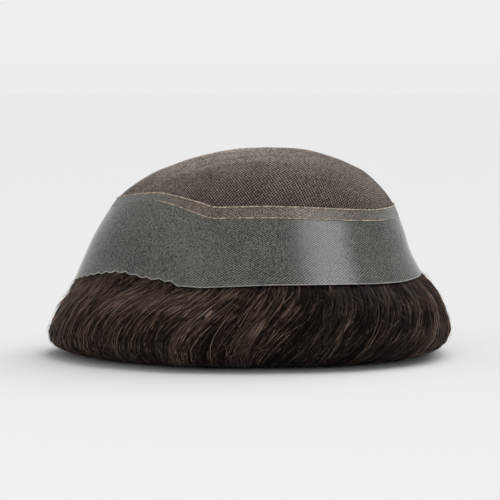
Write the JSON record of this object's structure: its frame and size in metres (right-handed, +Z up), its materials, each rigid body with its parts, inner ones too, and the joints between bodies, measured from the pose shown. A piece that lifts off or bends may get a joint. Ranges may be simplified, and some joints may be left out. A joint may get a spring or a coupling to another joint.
{
  "type": "toupee hairpiece",
  "caption": "Domed hairpiece base of lace with a clear scalloped poly band, turned scalp side out and resting on a roll of dark hair.",
  "frame": {"origin": "on the surface that the piece rests on, under the middle of its bounding box", "axes": "+Z up through the crown, +X from the front of the piece to its back, +Y to one side"},
  "size_m": [0.2174, 0.17, 0.1104],
  "materials": {
    "lace": "fine net, matt",
    "hem": "folded net, tan thread",
    "poly": "clear coated net, glossy",
    "hair": "dark brown hair, satin"
  },
  "bodies": {
    "root": {"lace_crown": "lace", "folded_hem": "hem", "poly_band": "poly", "crown_hair": "hair", "perimeter_hair": "hair"}
  },
  "joints": []
}
